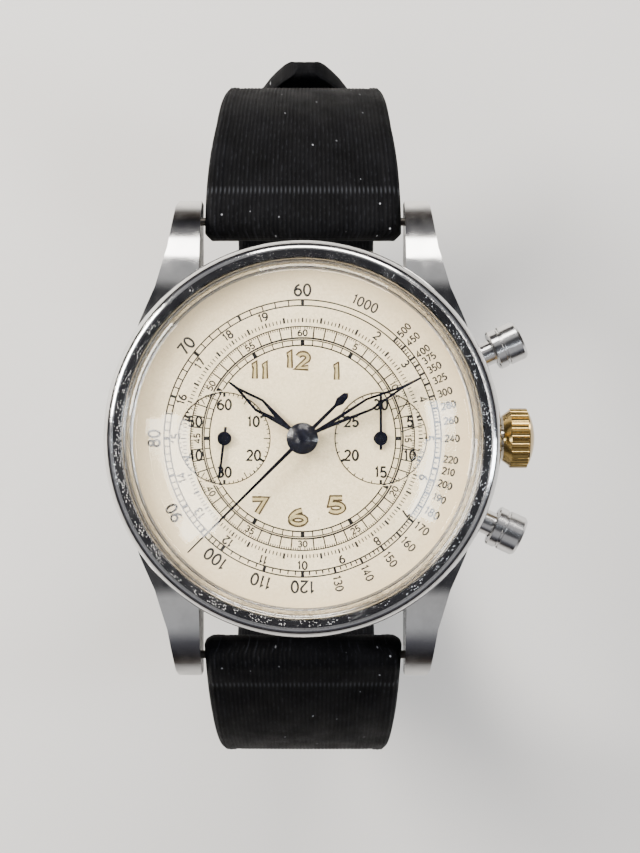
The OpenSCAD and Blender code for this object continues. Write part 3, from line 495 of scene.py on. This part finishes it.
# Telemeter: tenths, halves and whole numbers
for i in range(200):
    a = i * 1.8
    if i % 10 == 0:
        continue
    tick(TELE_IN, TELE_OUT if i % 5 == 0 else 11.42, a, 0.20 if i % 5 == 0 else 0.10)
for k in range(1, 20):
    a = 18 * k
    if k > 1:
        upright = a + 180 if k == 10 else a
        number(ink, str(k), polar(12.1, a), 0.78, upright, 0.16, INK0, INK1, 1.05)
    tick(TELE_IN, 11.5, a, 0.15)
tick(TELE_IN, 11.5, 0, 0.15)

# Seconds ring with fifths, and the minute track inside it
ring(SECONDS_OUT)
ring(SECONDS_IN)
for i in range(300):
    if i % 25 == 0:
        continue
    tick(SECONDS_IN if i % 5 == 0 else 10.42, SECONDS_OUT, i * 1.2, 0.12 if i % 5 == 0 else 0.085)
for k in range(5, 65, 5):
    a = 6 * k
    upright = a + 180 if 90 < a < 270 else a
    number(ink, str(k), polar(10.05, a), 0.60, upright, 0.13, INK0, INK1, 1.15)
ring(MINUTES_OUT)
ring(MINUTES_IN)
for i in range(60):
    tick(MINUTES_IN, MINUTES_OUT, i * 6, 0.36 if i % 5 == 0 else 0.10)

# Subdials
for c, count in zip(SUBDIALS, (60, 30)):
    thick_each = count // 6
    ring(SUB_RING, 0.10, c, 96)
    for i in range(count):
        a = 360 * i / count
        if i % thick_each == 0:
            tick(3.95, SUB_RING, a, 0.24, c)
        elif count == 60 and i % 5 == 0:
            tick(3.75, SUB_RING, a, 0.10, c)
        else:
            tick(4.10, SUB_RING, a, 0.09, c)
    for i in range(6):
        x, y = polar(3.22, 60 * i)
        number(ink, str(i * thick_each or count), (c[0] + x, c[1] + y), 1.0, 0, 0.2, INK0, INK1)
# Long marks at 3, 6 and 9 minutes
for i in (3, 6, 9):
    tick(2.06, SUB_RING, i * 12, 0.10, SUBDIALS[1])


def sink(b):
    """Lowers the printing that lies in the recessed subdials."""
    def inside(x, y):
        return any(math.hypot(x - c[0], y - c[1]) < SUB_R for c in SUBDIALS)

    b.v = [(x, y, z - SUB_DEPTH if inside(x, y) else z) for x, y, z in b.v]


sink(ink)
ink.piece("dial_printing", INK, "case")

gold, lume = Build(), Build()
for text, x, y in (("II", -4.05, 6.35), ("I2", -0.45, 7.40), ("I", 3.25, 6.25),
                   ("7", -4.15, -6.45), ("6", -0.45, -7.50), ("5", 3.20, -6.35)):
    wide = 1.9 if text in ("5", "6", "7") else 1.35
    number(gold, text, (x, y), 1.42, 0, 0.60, DIAL_Z - 0.01, DIAL_Z + 0.03, wide, 0.28)
    number(lume, text, (x, y), 1.42, 0, 0.27, DIAL_Z, DIAL_Z + 0.045, wide, 0.28)
gold.piece("gold_numerals", GOLD, "case")
lume.piece("numeral_lume", LUME, "case")


# ---------------------------------------------------------------- strap
def join(r, reach):
    """Angle at which a half's upper arc runs into the loop's arc, and the upper arc's centre distance."""
    s, q = r * r - BAR_Y * BAR_Y, 2 * (r - reach)
    c = (s - q * r) / (s - q * BAR_Y)
    return -math.acos(c), s / (2 * (r - BAR_Y * c))


def half_path(r, reach, end_deg):
    """Middle line in (y, z) of a half: one arc from the bar, then an arc about the bars' midpoint."""
    a, d = join(r, reach)
    c = np.array([d * math.cos(a), BAR_Z + d * math.sin(a)])
    rho = r - d
    start = math.atan2(BAR_Z - c[1], BAR_Y - c[0])
    n1 = int(rho * (start - a) / ROW_GAP)
    t1 = np.linspace(start, a, n1, endpoint=False)
    p1 = c + rho * np.stack([np.cos(t1), np.sin(t1)], 1)
    end = math.radians(end_deg)
    t2 = np.linspace(a, end, int(r * (a - end) / ROW_GAP) + 1)
    p2 = np.array([0, BAR_Z]) + r * np.stack([np.cos(t2), np.sin(t2)], 1)
    lead = np.linspace(-EYE_R, 0, 8, endpoint=False)
    u = np.array([math.sin(start), -math.cos(start)])
    p0 = np.array([BAR_Y, BAR_Z]) + lead[:, None] * u
    return np.vstack([p0, p1, p2])


def lengths(path):
    """How far along the strap each point of path is, from the spring bar."""
    return np.concatenate([[0], np.cumsum(np.linalg.norm(np.diff(path, axis=0), axis=1))]) - EYE_R


def strap_half(name, path, half_width, mirror, body, node):
    """A ribbed strap: a thick band along path with a stepped fold-over near the bar and rounded sides."""
    s = lengths(path)
    t = np.gradient(path, axis=0)
    t /= np.linalg.norm(t, axis=1)[:, None]
    n = np.stack([-t[:, 1], t[:, 0]], 1)
    eye = np.sqrt(np.clip(EYE_R ** 2 - np.minimum(s, EYE_R) ** 2, 0, None))
    body_h = np.where(s > 0, HALF_T, 0.0)
    swell = 0.42 * (1 - np.clip((s - 0.2) / 3.0, 0, 1)) * (s > 0)
    step = 0.30 / (1 + np.exp(np.clip((s - FLAP) / 0.06, -50, 50))) * (s > 0)
    out = np.maximum(eye, body_h + swell + step)
    inner = np.maximum(eye, body_h + swell * 0.8)
    end = s[-1] - s
    close = np.sqrt(np.clip(1 - (1 - np.clip(end / 0.8, 0, 1)) ** 2, 0, 1))
    out, inner = out * np.maximum(close, 0.02), inner * np.maximum(close, 0.02)
    half_width = half_width - 0.7 * np.clip((-1.25 - s) / 0.68, 0, 1)
    x = np.linspace(-1, 1, RIBS * 4 + 1)
    edge_mm = (1 - np.abs(x)) * 9.0
    k = np.sqrt(np.clip(1 - (1 - np.clip(edge_mm / 0.75, 0, 1)) ** 2, 0, 1))
    rib = 0.09 * (np.abs(np.cos(np.pi * RIBS * x / 2)) ** 0.8 - 0.6)
    hem = 0.07 * np.exp(-((edge_mm - 1.0) / 0.55) ** 2) - 0.05 * np.exp(-((edge_mm - 1.75) / 0.16) ** 2)
    crown = 0.05 * (1 - x ** 2)
    rng = np.random.default_rng(7 if mirror else 3)
    wave = sum(0.02 * np.sin(s[:, None] * f + ph + x[None, :] * g)
               for f, ph, g in zip(rng.uniform(0.15, 0.7, 5), rng.uniform(0, 6, 5), rng.uniform(-3, 3, 5)))
    rows = []
    for side, h in ((1, out[:, None]), (-1, inner[:, None])):
        lift = (h + (rib + hem + crown)[None, :] * (h > 0.3) + wave * (h > 0.3)) * k[None, :]
        y = path[:, 0:1] + side * lift * n[:, 0:1]
        z = path[:, 1:2] + side * lift * n[:, 1:2]
        xs = x[None, :] * half_width[:, None]
        rows.append(np.stack([xs, y if not mirror else -y, z], 2))
    loop = np.concatenate([rows[0], rows[1][::-1]], 0)
    order = np.concatenate([s, s[::-1]])
    mesh = grid_mesh(name, loop, MATS["strap_fabric"],
                     uv=lambda i, j: (x[j] * STRAP_W / 2, order[i % len(order)]))
    obj = place(name, mesh, None, smooth=True)
    weld = obj.modifiers.new("weld", "WELD")
    weld.merge_threshold = 0.00001
    apply_modifiers(obj)
    fix_normals(obj)
    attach(obj, body)
    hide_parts(node)


def apply_modifiers(obj):
    bpy.context.view_layer.update()
    dep = bpy.context.evaluated_depsgraph_get()
    new = bpy.data.meshes.new_from_object(obj.evaluated_get(dep))
    obj.modifiers.clear()
    old, obj.data = obj.data, new
    new.name = obj.name
    bpy.data.meshes.remove(old)


def fix_normals(obj):
    bm = bmesh.new()
    bm.from_mesh(obj.data)
    bmesh.ops.dissolve_degenerate(bm, dist=1e-7, edges=bm.edges)
    bmesh.ops.recalc_face_normals(bm, faces=bm.faces)
    bm.to_mesh(obj.data)
    bm.free()


# Half widths against depth below z = 0. From the spring bars down they are as in the part's source
path = half_path(LOOP_IN, REACH_12, BUCKLE_A)
width = np.interp(-path[:, 1], [-5, -3.4, 1, 8, 32], [9.8, 9.7, 8.9, 8.3, 8.0])
strap_half("strap_buckle_half_cloth", path, width, False, "strap_buckle", "strap_buckle_half")

path = half_path(LOOP_OUT, REACH_6, -90)
rest_of_tail = np.concatenate([np.arange(-90.9, -140, -0.9), np.linspace(-140, -180 - TAIL_A, 56)])
t = np.radians(rest_of_tail)
path = np.vstack([path, np.array([0, BAR_Z]) + LOOP_OUT * np.stack([np.cos(t), np.sin(t)], 1)])
s = lengths(path)
width = np.interp(-path[:, 1], [-5, -3.4, 6, 14, 40], [9.8, 9.7, 9.1, 8.7, 8.0])
width = np.where(path[:, 0] < 0, np.minimum(width, STRAP_END_W / 2), width)
tip_z = BAR_Z + LOOP_OUT * math.sin(math.radians(TAIL_A))
point = np.interp(tip_z - path[:, 1], [0, 0.3, 1, 2, 3, 5, 8, 10.5],
                  [0.7, 1.5, 2.4, 3.3, 4.1, 5.4, 7.1, 8.0])
width = np.where(s > s[-1] - 30, np.minimum(width, point), width)
strap_half("strap_tail_half_cloth", path, width, True, "strap_tail", "strap_tail_half")


def loop_frame(a_deg):
    """Axes at angle a about the bars' midpoint: x across, y along the strap, z outwards."""
    a = math.radians(a_deg)
    along = np.array([0, math.sin(a), -math.cos(a)])
    outwards = np.array([0, math.cos(a), math.sin(a)])
    return np.array([1, 0, 0]), along, outwards


def keeper(name, a_deg, r0, r1, body, node):
    """A ribbed cloth loop round both layers, from radius r0 to r1 about the bars' midpoint."""
    ex, ey, ez = loop_frame(a_deg)
    cx = STRAP_END_W / 2 + SOFT_GAP + KEEPER_WALL / 2
    cz = (r1 - r0) / 2 + KEEPER_WALL / 2
    corner, pts = 0.7, []
    for qx, qz, a0 in ((1, 1, 0), (-1, 1, 90), (-1, -1, 180), (1, -1, 270)):
        for i in range(7):
            a = math.radians(a0 + 15 * i)
            pts.append((qx * (cx - corner) + corner * math.cos(a),
                        qz * (cz - corner) + corner * math.sin(a)))
        if qx == qz:
            pts += [(qx * (cx - corner) * (1 - 2 * f), qz * cz) for f in np.linspace(0, 1, 40)[1:-1]]
    pts = np.array(pts)
    d = np.roll(pts, -1, 0) - np.roll(pts, 1, 0)
    d /= np.linalg.norm(d, axis=1)[:, None]
    nrm = np.stack([d[:, 1], -d[:, 0]], 1)
    prof = []
    sides = 32
    for i in range(sides):
        a = 2 * math.pi * i / sides
        u = math.copysign(abs(math.cos(a)) ** 0.35, math.cos(a)) * KEEPER_W / 2
        v = math.copysign(abs(math.sin(a)) ** 0.6, math.sin(a)) * KEEPER_WALL / 2
        rib = 0.04 * math.cos(u * 2 * math.pi / 0.5) if v > 0 else 0
        prof.append((u, v + rib))
    rows = np.zeros((len(pts), len(prof), 3))
    for i, (q, n) in enumerate(zip(pts, nrm)):
        for j, (u, v) in enumerate(prof):
            px, pz = q[0] + n[0] * v, q[1] + n[1] * v
            rows[i, j] = ex * px + ey * u + ez * ((r0 + r1) / 2 + pz) + np.array([0, 0, BAR_Z])
    mesh = grid_mesh(name, rows, MATS["strap_fabric"], close_cols=True,
                     uv=lambda i, j: (i * 0.4, j * 0.3))
    obj = place(name, mesh, None, smooth=True)
    fix_normals(obj)
    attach(obj, body)
    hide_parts(node)


keeper("fixed_keeper_cloth", -68, 40.65, 45.65, "strap_buckle", "fixed_keeper")
keeper("free_keeper_cloth", -48, 40.35, 45.65, "free_keeper", "free_keeper")

# Each pusher spring gets a mesh of its own
for side, joint in ((1, "start"), (-1, "reset")):
    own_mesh(frame["nodes"][joint + "_pusher_spring"])

# ---------------------------------------------------------------- stage, light and camera
floor_z = CAD_BOX[0][2] - 0.5 * MM
HALF_FLOOR = 1.5        # metres
corners = [(x * HALF_FLOOR, y * HALF_FLOOR, floor_z) for x, y in ((-1, -1), (1, -1), (1, 1), (-1, 1))]
mesh = bpy.data.meshes.new("floor")
mesh.from_pydata(corners, [], [(0, 1, 2, 3)])
floor_mat = Mat("floor_paper", (0.80, 0.78, 0.75), Roughness=0.85)
floor_mat.bump(floor_mat.noise(1.5, 4), 0.02, 0.2)
mesh.materials.append(floor_mat.m)
floor = bpy.data.objects.new("floor", mesh)
bpy.context.scene.collection.objects.link(floor)

# The sky by height. It is dark low down for contrast in the metal, and overhead to keep the crystal clear
SKY = [(0.0, (0.10, 0.08, 0.07)), (0.14, (0.02, 0.018, 0.022)), (0.40, (0.16, 0.16, 0.19)),
       (0.62, (0.78, 0.79, 0.83)), (0.90, (0.80, 0.80, 0.82)), (0.965, (0.06, 0.06, 0.07))]
world = bpy.data.worlds.new("studio")
bpy.context.scene.world = world
world.use_nodes = True
tree = world.node_tree
background = tree.nodes["Background"]
direction = tree.nodes.new("ShaderNodeTexCoord")
split = tree.nodes.new("ShaderNodeSeparateXYZ")
sky = tree.nodes.new("ShaderNodeValToRGB")
tree.links.new(direction.outputs["Generated"], split.inputs[0])
tree.links.new(split.outputs["Z"], sky.inputs["Fac"])
tree.links.new(sky.outputs["Color"], background.inputs["Color"])
stops = sky.color_ramp.elements
while len(stops) < len(SKY):
    stops.new(0.5)
for stop, (height, color) in zip(stops, SKY):
    stop.position = height
    stop.color = (*color, 1)
background.inputs["Strength"].default_value = 0.62


def area(name, loc, size, power, color):
    """A soft box at loc that faces the watch."""
    light = bpy.data.lights.new(name, "AREA")
    light.shape = "RECTANGLE"
    light.size, light.size_y = size
    light.energy = power
    light.color = color
    o = bpy.data.objects.new(name, light)
    o.location = loc
    o.rotation_euler = (-Vector(loc)).to_track_quat("-Z", "Y").to_euler()
    bpy.context.scene.collection.objects.link(o)


area("key_left", (-0.36, 0.16, 0.25), (0.24, 0.16), 4.4, (1.0, 0.96, 0.90))
area("fill_right", (0.40, -0.05, 0.22), (0.08, 0.20), 1.0, (0.86, 0.92, 1.0))
area("top_soft", (0.05, 0.40, 0.30), (0.34, 0.16), 2.2, (1.0, 0.97, 0.93))
# These two give the crystal its long reflections
area("streak_left", (-0.155, -0.05, 0.37), (0.16, 0.045), 0.26, (1.0, 0.98, 0.96))
area("streak_right", (0.160, -0.03, 0.37), (0.15, 0.030), 0.17, (0.84, 0.91, 1.0))

# The camera looks straight at the dial, and stands a little aside to frame it as in the photo
cam_data = bpy.data.cameras.new("camera")
cam_data.lens = 75.3
cam_data.sensor_width = 36
cam = bpy.data.objects.new("camera", cam_data)
cam.location = (1.67 * MM, 1.14 * MM, 180 * MM)
cam.rotation_euler = (0, 0, 0)
bpy.context.scene.collection.objects.link(cam)
bpy.context.scene.camera = cam
cam_data.clip_start = 0.01
